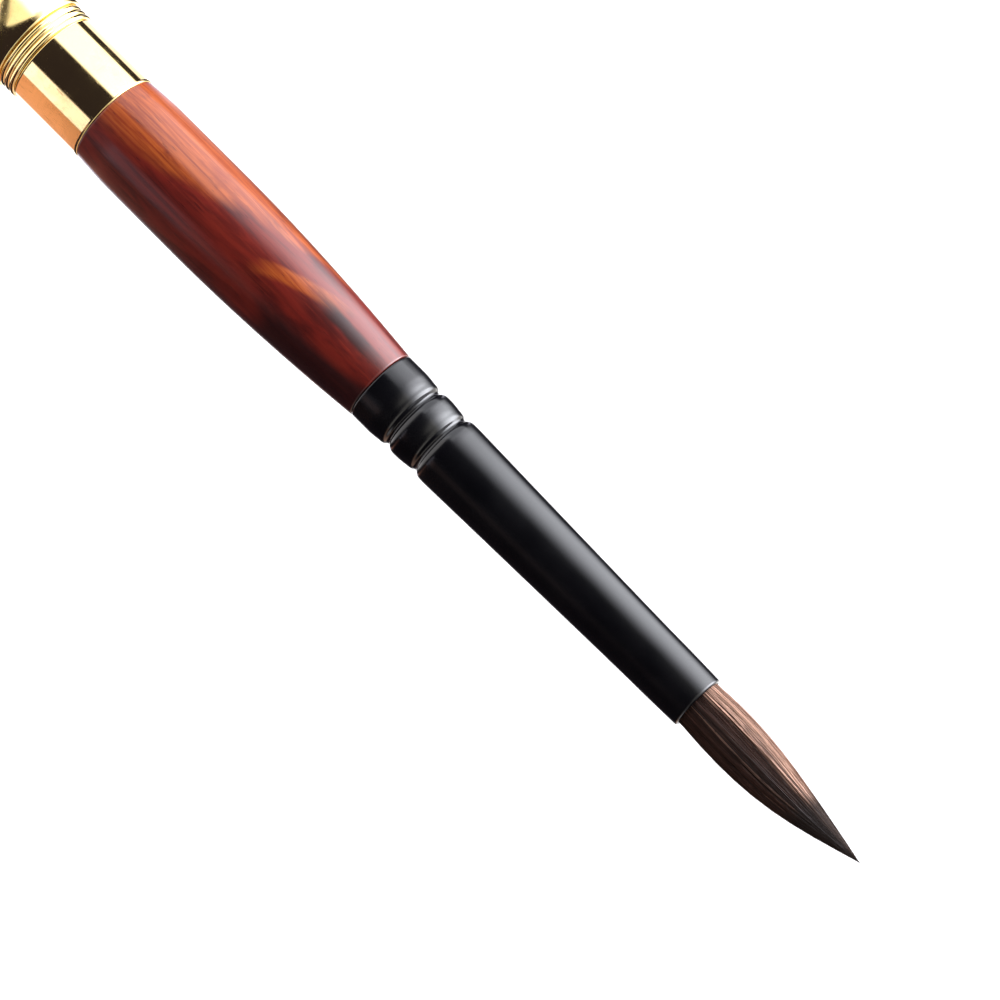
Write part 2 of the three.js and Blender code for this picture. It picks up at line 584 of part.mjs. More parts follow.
function ferrule() {
  const oRingGroove = GRIP_FRONT - HEAD_GROOVE_FROM_SHOULDER;
  turned("ferrule", blackLacquer(), OUTER_SIDES, [
    [FEED_CORE_SEAT, HEAD_SPIGOT_END],
    [HEAD_SPIGOT_RADIUS, HEAD_SPIGOT_END],
    [HEAD_SPIGOT_RADIUS, oRingGroove - O_RING_GROOVE_WIDTH],
    [HEAD_GROOVE_RADIUS, oRingGroove - O_RING_GROOVE_WIDTH],
    [HEAD_GROOVE_RADIUS, oRingGroove],
    [HEAD_SPIGOT_RADIUS, oRingGroove],
    [HEAD_SPIGOT_RADIUS, GRIP_FRONT],
    [FERRULE_REAR_RADIUS - FERRULE_CHAMFER, GRIP_FRONT],
    [FERRULE_REAR_RADIUS, GRIP_FRONT + FERRULE_CHAMFER],
    ...groove(FIRST_GROOVE_CENTRE, FERRULE_REAR_RADIUS, FERRULE_RING_RADIUS),
    ...groove(SECOND_GROOVE_CENTRE, FERRULE_RING_RADIUS, FERRULE_SHOULDER_RADIUS),
    ...sweep(
      4,
      (t) => mix(FERRULE_MOUTH_RADIUS, FERRULE_SHOULDER_RADIUS, (1 - t) ** FERRULE_TAPER_POWER),
      (t) => mix(GRIP_FRONT + FERRULE_TAPER_START, FERRULE_MOUTH - FERRULE_CHAMFER, t),
    ),
    [FERRULE_MOUTH_RADIUS - FERRULE_CHAMFER, FERRULE_MOUTH],
    [HAIR_SOCKET_RADIUS, FERRULE_MOUTH],
    [HAIR_SOCKET_RADIUS, HAIR_SOCKET_END],
    [FEED_CORE_SEAT, HAIR_SOCKET_END],
  ]);
}

function headORing() {
  const rear = GRIP_FRONT - HEAD_GROOVE_FROM_SHOULDER - O_RING_GROOVE_WIDTH;
  oRing("head_o_ring", HEAD_GROOVE_RADIUS, GRIP_LINER_BORE, rear, O_RING_GROOVE_WIDTH);
}

function rootResin() {
  tube("root_resin", resin(), INNER_SIDES, FEED_CORE_SEAT, HAIR_ROOT_RADIUS, HAIR_SOCKET_END, RESIN_FRONT);
}

function bindingThread() {
  const inner = HAIR_ROOT_RADIUS - BINDING_THICKNESS;
  const rear = RESIN_FRONT + BINDING_FROM_RESIN;
  tube("binding_thread", thread(), INNER_SIDES, inner, HAIR_ROOT_RADIUS, rear, rear + BINDING_LENGTH);
}

// The hair's root is tied and glued in the ferrule. Its front end is hollowed round the bend's centre,
// so that the point, which has a round rear end, bends without touching it.
function tuftRoot() {
  const tied = HAIR_ROOT_RADIUS - BINDING_THICKNESS - SEAT_CLEARANCE;
  const tieRear = RESIN_FRONT + BINDING_FROM_RESIN - SEAT_CLEARANCE;
  const tieFront = RESIN_FRONT + BINDING_FROM_RESIN + BINDING_LENGTH + SEAT_CLEARANCE;
  const hollow = TUFT_GIRTH_RADIUS + BEND_CLEARANCE;
  const rimDrop = TUFT_GIRTH_RADIUS * Math.sin(THREE.MathUtils.degToRad(BEND_LIMIT)) + BEND_CLEARANCE;
  const rimAngle = Math.asin(rimDrop / hollow);
  turned("tuft_root", hair(), INNER_SIDES, [
    [FEED_CORE_SEAT, RESIN_FRONT],
    [HAIR_ROOT_RADIUS, RESIN_FRONT],
    [HAIR_ROOT_RADIUS, tieRear],
    [tied, tieRear],
    [tied, tieFront],
    [HAIR_ROOT_RADIUS, tieFront],
    [HAIR_ROOT_RADIUS, FERRULE_MOUTH],
    [TUFT_GIRTH_RADIUS - SEAT_CLEARANCE, BEND_Z - rimDrop],
    ...sweep(
      4,
      (t) => hollow * Math.cos(mix(rimAngle, Math.PI / 2, t)),
      (t) => BEND_Z - hollow * Math.sin(mix(rimAngle, Math.PI / 2, t)),
    ).slice(0, -1),
    [0, BEND_Z - hollow],
    [0, RESIN_FRONT + FEED_CORE_IN_HAIR + SEAT_CLEARANCE],
    [FEED_CORE_SEAT, RESIN_FRONT + FEED_CORE_IN_HAIR - FEED_CORE_RADIUS + SEAT_CLEARANCE],
  ]);
}

function tuftPoint() {
  turned("tuft_point", hair(), INNER_SIDES, [
    ...sweep(
      4,
      (t) => TUFT_GIRTH_RADIUS * Math.sin(t * Math.PI / 2),
      (t) => BEND_Z - TUFT_GIRTH_RADIUS * Math.cos(t * Math.PI / 2),
    ),
    ...sweep(
      8,
      (t) => mix(TUFT_TIP_RADIUS, TUFT_GIRTH_RADIUS, (1 - t ** TUFT_TAPER_POWER) ** TUFT_POINT_POWER),
      (t) => mix(BEND_Z, BRUSH_TIP, t),
    ).slice(1),
    [0, BRUSH_TIP],
  ]);
}

for (const piece of [
  tailFinial, tailRing, tailPlug, finialStud, barrelSleeve, barrelLiner, bellCollar, mouthBush,
  beadedRing, centreCollar, gripSleeve, gripLiner, couplingSpigot, couplingORing,
  feedNozzle, inkTube, feedCore,
  inkReservoir, converterCollar, converterKnob, pistonRod, pistonSeal,
  ferrule, headORing, rootResin, bindingThread, tuftRoot, tuftPoint,
]) piece();

export default brush;
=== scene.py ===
import json
import math

import bpy
import numpy as np
from mathutils import Matrix, Vector

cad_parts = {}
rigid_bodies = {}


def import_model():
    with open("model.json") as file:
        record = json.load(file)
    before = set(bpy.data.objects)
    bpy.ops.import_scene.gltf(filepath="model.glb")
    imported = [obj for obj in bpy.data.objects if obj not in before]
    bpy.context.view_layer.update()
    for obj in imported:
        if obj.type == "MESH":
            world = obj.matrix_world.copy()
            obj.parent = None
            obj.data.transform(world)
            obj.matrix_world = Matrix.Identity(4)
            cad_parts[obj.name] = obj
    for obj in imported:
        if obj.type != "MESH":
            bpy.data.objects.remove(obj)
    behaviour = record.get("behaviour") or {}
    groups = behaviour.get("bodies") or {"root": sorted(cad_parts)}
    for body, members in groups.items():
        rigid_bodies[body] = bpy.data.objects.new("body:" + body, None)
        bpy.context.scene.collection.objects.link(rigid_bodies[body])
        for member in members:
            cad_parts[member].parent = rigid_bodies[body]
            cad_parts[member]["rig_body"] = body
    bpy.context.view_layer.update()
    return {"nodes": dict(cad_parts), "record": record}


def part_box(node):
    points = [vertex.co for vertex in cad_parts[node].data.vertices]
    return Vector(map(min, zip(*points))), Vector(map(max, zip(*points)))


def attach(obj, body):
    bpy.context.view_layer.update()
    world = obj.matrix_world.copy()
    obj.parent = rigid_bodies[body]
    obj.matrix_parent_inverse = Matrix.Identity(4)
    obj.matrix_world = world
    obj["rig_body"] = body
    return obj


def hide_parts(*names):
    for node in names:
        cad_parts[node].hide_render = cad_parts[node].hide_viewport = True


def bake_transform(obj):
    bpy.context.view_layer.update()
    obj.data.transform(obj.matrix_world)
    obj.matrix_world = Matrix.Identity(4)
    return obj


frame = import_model()

MM = 0.001
TOUCH = 0.002 * MM  # two section points nearer than this are one
SMOOTH_TURN = math.radians(44)  # a section turns less than this along a curve, and more at a corner
OUTER_SIDES = 128
INNER_SIDES = 72
rng = np.random.default_rng(11)


# ---- Sections of turned pieces ----
def section_of(node):
    """A node's section as points (radius, z), in order, and whether it closes on itself. It is read
    from the mesh's edges in the half-plane y = 0, x >= 0."""
    links, places = {}, {}
    mesh = frame["nodes"][node].data
    for edge in mesh.edges:
        ends = [mesh.vertices[i].co for i in edge.vertices]
        if any(abs(end.y) > TOUCH or end.x < -TOUCH for end in ends):
            continue
        keys = [(round(end.x / TOUCH), round(end.z / TOUCH)) for end in ends]
        if keys[0] == keys[1]:
            continue
        for key, end in zip(keys, ends):
            places[key] = (max(end.x, 0.0), end.z)
        links.setdefault(keys[0], set()).add(keys[1])
        links.setdefault(keys[1], set()).add(keys[0])
    ends = sorted((key for key in links if len(links[key]) == 1), key=lambda key: key[1])
    closed = not ends
    start = min(links, key=lambda key: (key[1], key[0])) if closed else ends[0]
    chain, before, here = [start], None, start
    while True:
        onward = sorted(key for key in links[here] if key != before and key not in chain[1:])
        if not onward or onward[0] == start:
            break
        before, here = here, onward[0]
        chain.append(here)
    return np.array([places[key] for key in chain]), closed


def ease(section, closed, radius, step=0.5 * MM, smooth_turn=SMOOTH_TURN):
    """The section with its curves made smooth and its corners rounded to about the radius."""
    count = len(section)
    ahead = [section[(i + 1) % count] - section[i] for i in range(count)]
    length = [max(float(np.linalg.norm(v)), 1e-9) for v in ahead]
    segments = range(count if closed else count - 1)

    def turn(i):
        if not closed and i in (0, count - 1):
            return math.pi
        a, b = ahead[i - 1] / length[i - 1], ahead[i] / length[i]
        return math.acos(max(-1.0, min(1.0, float(a @ b))))

    corner = [turn(i) > smooth_turn for i in range(count)]

    def tangent(i, along):
        if corner[i]:
            return ahead[along] / length[along]
        mixed = ahead[i - 1] + ahead[i]
        return mixed / np.linalg.norm(mixed)

    def trim(i, along):
        """How far from point i, along a segment, its rounding reaches."""
        open_end = not closed and i in (0, count - 1)
        return 0.0 if open_end or not corner[i] else min(radius, 0.3 * length[along])

    result = []
    for i in segments:
        j = (i + 1) % count
        start, end, size = section[i], section[j], length[i]
        t0, t1 = tangent(i, i) * size, tangent(j, i) * size
        a, b = trim(i, i) / size, trim(j, i) / size
        marks = list(np.linspace(a * 2, 1 - b * 2, max(2, int(math.ceil(size / step)) + 1)))
        marks = ([a] if a else []) + marks + ([1 - b] if b else [])
        curve = []
        for u in marks:
            h = (2 * u**3 - 3 * u**2 + 1, u**3 - 2 * u**2 + u, -2 * u**3 + 3 * u**2, u**3 - u**2)
            curve.append(h[0] * start + h[1] * t0 + h[2] * end + h[3] * t1)
        result.append(curve)
    points = []
    for place, i in enumerate(segments):
        curve = result[place]
        points.extend(curve if not points or corner[i] else curve[1:])
        j = (i + 1) % count
        if corner[j] and (closed or j != count - 1):
            first, last = curve[-1], result[(place + 1) % len(result)][0]
            for u in (0.25, 0.5, 0.75):
                points.append((1 - u) ** 2 * first + 2 * u * (1 - u) * section[j] + u**2 * last)
    if closed and not corner[0]:
        points.pop()
    return np.array(points)


def turn_mesh(name, points, closed, sides, relief=None):
    """The section turned about the Z axis. relief(angle, radius, z) gives the radius of each point
    where the surface isn't round."""
    area = sum(a[0] * b[1] - b[0] * a[1] for a, b in zip(points, np.roll(points, -1, axis=0)))
    if area < 0:
        points = points[::-1]
    angles = np.arange(sides) * 2 * math.pi / sides
    vertices, rings = [], []
    for radius, z in points:
        if radius < TOUCH:
            rings.append([len(vertices)] * sides)
            vertices.append((0.0, 0.0, z))
            continue
        rings.append(list(range(len(vertices), len(vertices) + sides)))
        reach = np.full(sides, radius) if relief is None else relief(angles, radius, z)
        vertices.extend(zip(reach * np.cos(angles), reach * np.sin(angles), np.full(sides, z)))
    faces = []
    pairs = list(zip(rings, rings[1:])) + ([(rings[-1], rings[0])] if closed else [])
    for lower, upper in pairs:
        for k in range(sides):
            n = (k + 1) % sides
            corners = [lower[k], lower[n], upper[n], upper[k]]
            face = [v for place, v in enumerate(corners) if v not in corners[:place]]
            if len(face) > 2:
                faces.append(face)
    mesh = bpy.data.meshes.new(name)
    mesh.from_pydata(vertices, [], faces)
    mesh.validate()
    mesh.shade_smooth()
    return mesh


def add(name, mesh, material, body, slot, *nodes):
    piece = bpy.data.objects.new(name, mesh)
    bpy.context.scene.collection.objects.link(piece)
    mesh.materials.append(material)
    if body:
        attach(piece, body)
    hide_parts(*nodes)
    return piece


def body_with(node):
    return frame["nodes"][node]["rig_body"]


def slot_with(node):
    subparts = frame["record"]["subparts"]
    return next(part["material_slot"] for part in subparts if part["node"] == node)


# ---- Materials ----
class Recipe:
    """A procedural material under way: a Principled shader, and short calls for the nodes before it."""

    def __init__(self, name, **sockets):
        self.material = bpy.data.materials.new(name)
        self.material.use_nodes = True
        self.tree = self.material.node_tree
        self.shader = self.tree.nodes["Principled BSDF"]
        self.set(**sockets)
        place = self.node("ShaderNodeTexCoord").outputs["Object"]
        self.mm = self.node("ShaderNodeVectorMath", place, (1 / MM,) * 3, operation="MULTIPLY").outputs[0]
        self.x, self.y, self.z = self.node("ShaderNodeSeparateXYZ", self.mm).outputs

    def node(self, kind, *inputs, **settings):
        """Adds a node, with its settings, and feeds its first inputs in order."""
        node = self.tree.nodes.new(kind)
        for setting, value in settings.items():
            setattr(node, setting, value)
        for socket, value in zip(node.inputs, inputs):
            self.feed(socket, value)
        return node

    def feed(self, socket, value):
        if isinstance(value, bpy.types.NodeSocket):
            self.tree.links.new(value, socket)
        elif value is not None:
            socket.default_value = value

    def set(self, **sockets):
        """Feeds the shader's sockets, named with _ for a space."""
        for name, value in sockets.items():
            self.feed(self.shader.inputs[name.replace("_", " ")], value)
        return self

    def angle(self):
        """Degrees round the brush from -Y towards +X."""
        around = self.math("ARCTAN2", self.x, self.math("MULTIPLY", self.y, -1.0))
        return self.math("MULTIPLY", around, math.degrees(1))

    def math(self, operation, a, b=None, c=None):
        return self.node("ShaderNodeMath", a, b, c, operation=operation).outputs[0]

    def stretch(self, across, along):
        """Millimetre coordinates scaled across and along the brush."""
        return self.node(
            "ShaderNodeVectorMath", self.mm, (across, across, along), operation="MULTIPLY"
        ).outputs[0]

    def noise(self, across, along, detail=3.0, roughness=0.5, distortion=0.0):
        """Noise with that many features to the millimetre across and along the brush, 0 to 1."""
        node = self.node("ShaderNodeTexNoise")
        self.feed(node.inputs["Vector"], self.stretch(across, along))
        self.feed(node.inputs["Scale"], 1.0)
        self.feed(node.inputs["Detail"], detail)
        self.feed(node.inputs["Roughness"], roughness)
        self.feed(node.inputs["Distortion"], distortion)
        return node.outputs["Fac"]

    def rise(self, value, low, high, to_low=0.0, to_high=1.0):
        """A smooth step of the value from to_low to to_high."""
        node = self.node(
            "ShaderNodeMapRange", value, low, high, to_low, to_high, interpolation_type="SMOOTHSTEP"
        )
        return node.outputs["Result"]

    def mix(self, share, a, b):
        """Colour a, or b where share is 1."""
        node = self.node("ShaderNodeMix", data_type="RGBA")
        self.feed(node.inputs["Factor"], share)
        self.feed(node.inputs["A"], a)
        self.feed(node.inputs["B"], b)
        return node.outputs["Result"]

    def bump(self, height, depth, normal=None):
        """A bump of that depth in metres."""
        node = self.node("ShaderNodeBump")
        self.feed(node.inputs["Height"], height)
        self.feed(node.inputs["Distance"], depth)
        self.feed(node.inputs["Normal"], normal)
        return node.outputs["Normal"]


def rgb(red, green, blue):
    return (red, green, blue, 1.0)


def metal(name, bright, worn, roughness, lathe_depth):
    """Turned and polished metal: fine rings round it, faint scuffs along it, and a cloudy film."""
    recipe = Recipe(name, Metallic=1.0)
    film = recipe.noise(0.35, 0.35, 5, 0.6)
    scuffs = recipe.rise(recipe.noise(9, 0.8, 2, 0.6, 0.4), 0.66, 0.74)
    rings = recipe.noise(0.02, 26, 2)
    dull = recipe.math("MULTIPLY_ADD", scuffs, 0.10, recipe.rise(film, 0.35, 0.7, roughness, roughness * 1.7))
    return recipe.set(
        Base_Color=recipe.mix(recipe.rise(film, 0.45, 0.8), bright, worn),
        Roughness=dull,
        Normal=recipe.bump(scuffs, 0.0008 * MM, recipe.bump(rings, lathe_depth)),
    ).material


WARP_ROUND = 34.0  # degrees that the wood's warp shifts a patch round the brush
WARP_ALONG = 5.0  # millimetres that it shifts a patch along the brush
PATCH_END = 2.0  # half the length in millimetres over which a patch begins or ends


def patch(recipe, warp, rear, centre, half, z_from, z_to, drift=0.0, slant=0.0):
    """Where a patch of the wood's figure lies, 0 to 1: half a width each side of an angle round the
    brush, in degrees, and from one height to another, in mm from the rear. Its centre line drifts by
    some degrees a mm, and its ends slant by some mm a degree."""
    height = recipe.math("SUBTRACT", recipe.z, rear / MM)
    beyond = recipe.math("MULTIPLY", recipe.math("SUBTRACT", height, (z_from + z_to) / 2), drift)
    offset = recipe.math("SUBTRACT", recipe.math("SUBTRACT", recipe.angle(), centre), beyond)
    offset = recipe.math("MULTIPLY_ADD", warp, WARP_ROUND, offset)
    warped_height = recipe.math("MULTIPLY_ADD", warp, WARP_ALONG, height)
    place = recipe.math("MULTIPLY_ADD", offset, slant, warped_height)
    across = recipe.rise(recipe.math("ABSOLUTE", offset), half, half * 0.5)
    begun = recipe.rise(place, z_from - PATCH_END, z_from + PATCH_END)
    unended = recipe.rise(place, z_to + PATCH_END, z_to - PATCH_END)
    return recipe.math("MULTIPLY", across, recipe.math("MULTIPLY", begun, unended))


def rosewood(name, rear, flames, shades):
    """Oiled and polished rosewood: soft dark streaks, fine lines, short pores, and patches of figure,
    orange flames and dark shades."""
    recipe = Recipe(
        name, Specular_IOR_Level=0.10, IOR=1.5, Coat_Weight=0.80, Coat_Roughness=0.19, Coat_IOR=1.5
    )
    warp = recipe.math("SUBTRACT", recipe.noise(0.22, 0.09, 3), 0.5)
    streaks = recipe.noise(0.42, 0.07, 4, 0.55, 1.4)
    lines = recipe.noise(2.8, 0.12, 3, 0.6, 0.7)
    pores = recipe.rise(recipe.noise(6.5, 0.55, 2, 0.5), 0.66, 0.75)
    red = recipe.mix(recipe.rise(streaks, 0.34, 0.64), WOOD_DARK, WOOD_RED)
    red = recipe.mix(recipe.rise(lines, 0.42, 0.75, 0.0, 0.5), red, WOOD_BRIGHT)
    figure = recipe.mix(recipe.rise(lines, 0.32, 0.68), WOOD_FLAME, WOOD_FLAME_BRIGHT)
    feather = recipe.rise(recipe.noise(0.9, 0.16, 4, 0.6, 0.9), 0.22, 0.56, 0.35, 1.0)
    for flame in flames:
        share = recipe.math("MULTIPLY", patch(recipe, warp, rear, *flame), feather)
        red = recipe.mix(share, red, figure)
    for shade in shades:
        share = recipe.math("MULTIPLY", patch(recipe, warp, rear, *shade), 0.85)
        red = recipe.mix(share, red, WOOD_SHADE)
    colour = recipe.mix(recipe.math("MULTIPLY", pores, 0.55), red, WOOD_SHADE)
    return recipe.set(
        Base_Color=colour,
        Roughness=recipe.rise(streaks, 0.3, 0.7, 0.32, 0.42),
        Normal=recipe.bump(pores, -0.005 * MM, recipe.bump(lines, 0.0015 * MM)),
        Coat_Normal=recipe.bump(recipe.noise(0.3, 0.12, 2), 0.003 * MM),
    ).material


def lacquer():
    """Thick black lacquer with the softest orange peel."""
    recipe = Recipe("black_lacquer", Specular_IOR_Level=0.5, IOR=1.5)
    cloud = recipe.noise(0.4, 0.2, 4)
    deep, pale = rgb(0.0009, 0.0010, 0.0017), rgb(0.0016, 0.0017, 0.0026)
    return recipe.set(
        Base_Color=recipe.mix(recipe.rise(cloud, 0.3, 0.7), deep, pale),
        Roughness=recipe.rise(cloud, 0.3, 0.7, 0.17, 0.21),
        Normal=recipe.bump(recipe.noise(1.1, 0.6, 2), 0.0012 * MM),
    ).material


def plastic(name, colour, shade, roughness, **sockets):
    """Moulded plastic or rubber: a fine spark-eroded grain and a slight cloud in the colour."""
    recipe = Recipe(name, **sockets)
    cloud = recipe.noise(0.5, 0.3, 4)
    grain = recipe.noise(14, 14, 2)
    return recipe.set(
        Base_Color=recipe.mix(recipe.rise(cloud, 0.3, 0.75), colour, shade),
        Roughness=recipe.rise(grain, 0.3, 0.7, roughness, roughness * 1.35),
        Normal=recipe.bump(grain, 0.0012 * MM),
    ).material


def fibre(name, colour, shade, across, along):
    """Spun or bonded fibre: lines of it, light on dark."""
    recipe = Recipe(name, Roughness=0.85, Sheen_Weight=0.3)
    lines = recipe.noise(across, along, 3, 0.6, 0.5)
    return recipe.set(
        Base_Color=recipe.mix(recipe.rise(lines, 0.35, 0.65), shade, colour),
        Normal=recipe.bump(lines, 0.02 * MM),
    ).material


def hair_material():
    """Weasel hair. Each hair carries its own tone, with light painted into it on one side of the tuft, and
    how far along the tuft each of its points is.
    """
    recipe = Recipe("hair", Specular_IOR_Level=0.14, Roughness=0.36)
    tone = recipe.node("ShaderNodeAttribute", attribute_name="tone").outputs["Fac"]
    along = recipe.node("ShaderNodeAttribute", attribute_name="along").outputs["Fac"]
    colour = recipe.mix(recipe.rise(tone, 0.0, 0.5), HAIR_DARK, HAIR_BROWN)
    # Painted highlight: the fawn colour where the tone is high, mostly on the tuft's painted lit side and on
    # a few lighter hairs.
    colour = recipe.mix(recipe.rise(tone, 0.42, 1.0), colour, HAIR_FAWN_AND_PAINTED_HIGHLIGHT)
    dark_end = recipe.rise(along, 0.61, 0.72)
    colour = recipe.mix(recipe.math("MULTIPLY", dark_end, 0.9), colour, HAIR_POINT)
    mottle = recipe.noise(5, 0.7, 3)
    colour = recipe.mix(recipe.rise(mottle, 0.45, 0.75, 0.0, 0.35), colour, HAIR_MOTTLE)
    return recipe.set(Base_Color=colour).material


WOOD_SHADE = rgb(0.010, 0.0016, 0.0022)
WOOD_DARK = rgb(0.045, 0.0040, 0.0036)
WOOD_RED = rgb(0.115, 0.0085, 0.0050)
WOOD_BRIGHT = rgb(0.15, 0.016, 0.0075)
WOOD_FLAME = rgb(0.16, 0.023, 0.0040)
WOOD_FLAME_BRIGHT = rgb(0.28, 0.060, 0.0105)
HAIR_DARK = rgb(0.009, 0.0042, 0.0032)
HAIR_BROWN = rgb(0.042, 0.0185, 0.0135)
# The fawn of lighter hairs, and the painted highlight on the tuft's lit side.
HAIR_FAWN_AND_PAINTED_HIGHLIGHT = rgb(0.47, 0.28, 0.205)
HAIR_POINT = rgb(0.013, 0.0088, 0.0080)
HAIR_MOTTLE = rgb(0.010, 0.005, 0.004)
GOLD = (rgb(1.0, 0.78, 0.36), rgb(0.96, 0.70, 0.28))
BRASS = (rgb(0.80, 0.58, 0.24), rgb(0.55, 0.36, 0.14))
# The wood's figure, as the places that patch() takes.
GRIP_FLAMES = [
    (-38, 56, -8, 18, 0.0, 0.24),
    (-17, 13, 22.5, 29, -5.0),
    (140, 30, 6, 24, -2.5, 0.45),
]
GRIP_SHADES = [(-22, 13, 28, 35), (48, 36, 24, 42)]
BARREL_FLAMES = [
    (-36, 36, 6, 26, 0.6, 0.45),
    (-20, 22, 44, 60, -2.0, 0.3),
    (70, 30, 28, 52, 1.6, 0.6),
    (165, 28, 10, 38, -1.4, 0.6),
]
BARREL_SHADES = [(20, 30, 22, 40, -1.0, 0.25), (-130, 26, 36, 58, 2.6, 0.5)]
grip_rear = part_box("grip_sleeve")[0].z
barrel_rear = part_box("barrel_sleeve")[0].z
materials = {
    "gold": metal("gold", *GOLD, 0.07, 0.0006 * MM),
    "brass": metal("brass", *BRASS, 0.24, 0.004 * MM),
    "grip_wood": rosewood("grip_wood", grip_rear, GRIP_FLAMES, GRIP_SHADES),
    "barrel_wood": rosewood("barrel_wood", barrel_rear, BARREL_FLAMES, BARREL_SHADES),
    "black_lacquer": lacquer(),
    "black_plastic": plastic("black_plastic", rgb(0.012, 0.012, 0.014), rgb(0.02, 0.02, 0.022), 0.32),
    "white_plastic": plastic("white_plastic", rgb(0.78, 0.77, 0.72), rgb(0.70, 0.69, 0.63), 0.38),
    "rubber": plastic("rubber", rgb(0.014, 0.013, 0.013), rgb(0.03, 0.028, 0.026), 0.62),
    "clear_plastic": plastic(
        "clear_plastic",
        rgb(0.93, 0.95, 0.96),
        rgb(0.88, 0.91, 0.93),
        0.06,
        Transmission_Weight=1.0,
        IOR=1.49,
    ),
    "resin": plastic("resin", rgb(0.50, 0.26, 0.06), rgb(0.34, 0.15, 0.03), 0.2),
    "thread": fibre("thread", rgb(0.66, 0.60, 0.48), rgb(0.34, 0.29, 0.20), 1.5, 7),
    "feed_fibre": fibre("feed_fibre", rgb(0.62, 0.60, 0.55), rgb(0.30, 0.29, 0.27), 9, 0.4),
    "hair": hair_material(),
}


# ---- Turned pieces ----
FINE = 0.06 * MM  # rounding of a fine edge
EDGE = 0.12 * MM  # rounding of an outer edge
COLLAR_EDGE = 0.16 * MM
FERRULE_EDGE = 0.10 * MM
BEADS = 3
BEAD_STEPS = 12
BEAD_GAP_FILL = 0.04 * MM  # how far the metal between two beads stands out of their floor
FLUTES = 32  # round the converter's knob
FLUTE_DEPTH = 0.14 * MM
THREAD_PITCH = 1.0 * MM
THREAD_DEPTH = 0.16 * MM
THREAD_LENGTH = 4.6 * MM
THREAD_STEP = 0.16 * MM  # between the rings of vertices that show the thread


def turned_piece(node, finish, radius, sides=OUTER_SIDES, relief=None, step=0.5 * MM, **how):
    """Makes a node again as a finer surface."""
    section, closed = section_of(node)
    points = ease(section, closed, radius, step, **how)
    mesh = turn_mesh(node, points, closed, sides, relief)
    return add(f"{node}_shape", mesh, materials[finish], body_with(node), slot_with(node), node)


def beaded_ring():
    """Fine round beads, one behind the other."""
    low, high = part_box("beaded_ring")
    section, _ = section_of("beaded_ring")
    length = (high.z - low.z) / BEADS
    depth = 0.6 * length / 2
    floor = high.x - depth
    bore = section[:, 0].min()
    points = [(bore, low.z)]
    for bead in range(BEADS):
        for k in range(1, BEAD_STEPS):
            angle = math.pi * k / BEAD_STEPS
            z = low.z + length * (bead + 0.5 - 0.5 * math.cos(angle))
            points.append((floor + depth * math.sin(angle), z))
        if bead < BEADS - 1:
            points.append((floor + BEAD_GAP_FILL, low.z + length * (bead + 1)))
    points.append((bore, high.z))
    mesh = turn_mesh("beaded_ring", np.array(points), True, OUTER_SIDES)
    add("beaded_ring_shape", mesh, materials["gold"], body_with("beaded_ring"), "gold", "beaded_ring")


def knurl(node, count, depth, z_from, z_to):
    """Relief of straight flutes on a knob's outer surface, between two heights."""
    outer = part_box(node)[1].x

    def relief(angles, radius, z):
        reach = np.full(len(angles), radius)
        if radius < outer * 0.98 or not z_from < z < z_to:
            return reach
        fade = min(1.0, (z - z_from) / (0.4 * MM), (z_to - z) / (0.4 * MM))
        return reach - depth * fade * (0.5 - 0.5 * np.cos(count * angles)) ** 0.7

    return relief


def screw_thread(z_from, z_to, radius_at, pitch, depth):
    """Relief of a right-handed thread on a spigot, between two heights."""

    def relief(angles, radius, z):
        reach = np.full(len(angles), radius)
        if not z_from < z < z_to or abs(radius - radius_at) > 0.02 * MM:
            return reach
        fade = min(1.0, (z - z_from) / (0.3 * MM), (z_to - z) / (0.3 * MM))
        phase = (z / pitch - angles / (2 * math.pi)) % 1.0
        return reach - depth * fade * np.clip(2.4 * np.abs(phase - 0.5) * 2 - 1.0, 0.0, 1.0)

    return relief


def turned_pieces():
    for node in ("tail_finial", "tail_ring", "bell_collar"):
        turned_piece(node, "gold", EDGE)
    turned_piece("centre_collar", "gold", COLLAR_EDGE)
    turned_piece("barrel_sleeve", "barrel_wood", FINE, step=1.0 * MM)
    turned_piece("grip_sleeve", "grip_wood", EDGE, step=1.0 * MM)
    for node in ("tail_plug", "finial_stud", "barrel_liner", "mouth_bush", "grip_liner"):
        turned_piece(node, "brass", FINE, INNER_SIDES, step=2.0 * MM)
    turned_piece("coupling_spigot", "brass", FINE, INNER_SIDES)
    for node in ("coupling_o_ring", "head_o_ring"):
        turned_piece(node, "rubber", FINE, INNER_SIDES, step=0.1 * MM, smooth_turn=math.radians(60))
    for node in ("feed_nozzle", "ink_tube", "piston_rod"):
        turned_piece(node, "white_plastic", FINE, INNER_SIDES, step=2.0 * MM)
    turned_piece("feed_core", "feed_fibre", FINE, INNER_SIDES, step=2.0 * MM)
    turned_piece("ink_reservoir", "clear_plastic", FINE, INNER_SIDES, step=2.0 * MM)
    turned_piece("converter_collar", "gold", FINE, INNER_SIDES)
    turned_piece("piston_seal", "rubber", FINE, INNER_SIDES)
    turned_piece("root_resin", "resin", FINE, INNER_SIDES)
    turned_piece("binding_thread", "thread", FINE, INNER_SIDES)
    knob_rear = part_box("converter_knob")[0].z
    flutes = knurl("converter_knob", FLUTES, FLUTE_DEPTH, knob_rear + 1.2 * MM, knob_rear + 15.0 * MM)
    turned_piece("converter_knob", "black_plastic", EDGE, 192, flutes)
    thread_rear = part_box("ferrule")[0].z + 0.3 * MM
    thread_front = thread_rear + THREAD_LENGTH
    section, _ = section_of("ferrule")
    spigot_radius = max(radius for radius, z in section if z < thread_front)
    thread = screw_thread(thread_rear, thread_front, spigot_radius, THREAD_PITCH, THREAD_DEPTH)
    turned_piece("ferrule", "black_lacquer", FERRULE_EDGE, OUTER_SIDES, thread, THREAD_STEP)
    beaded_ring()


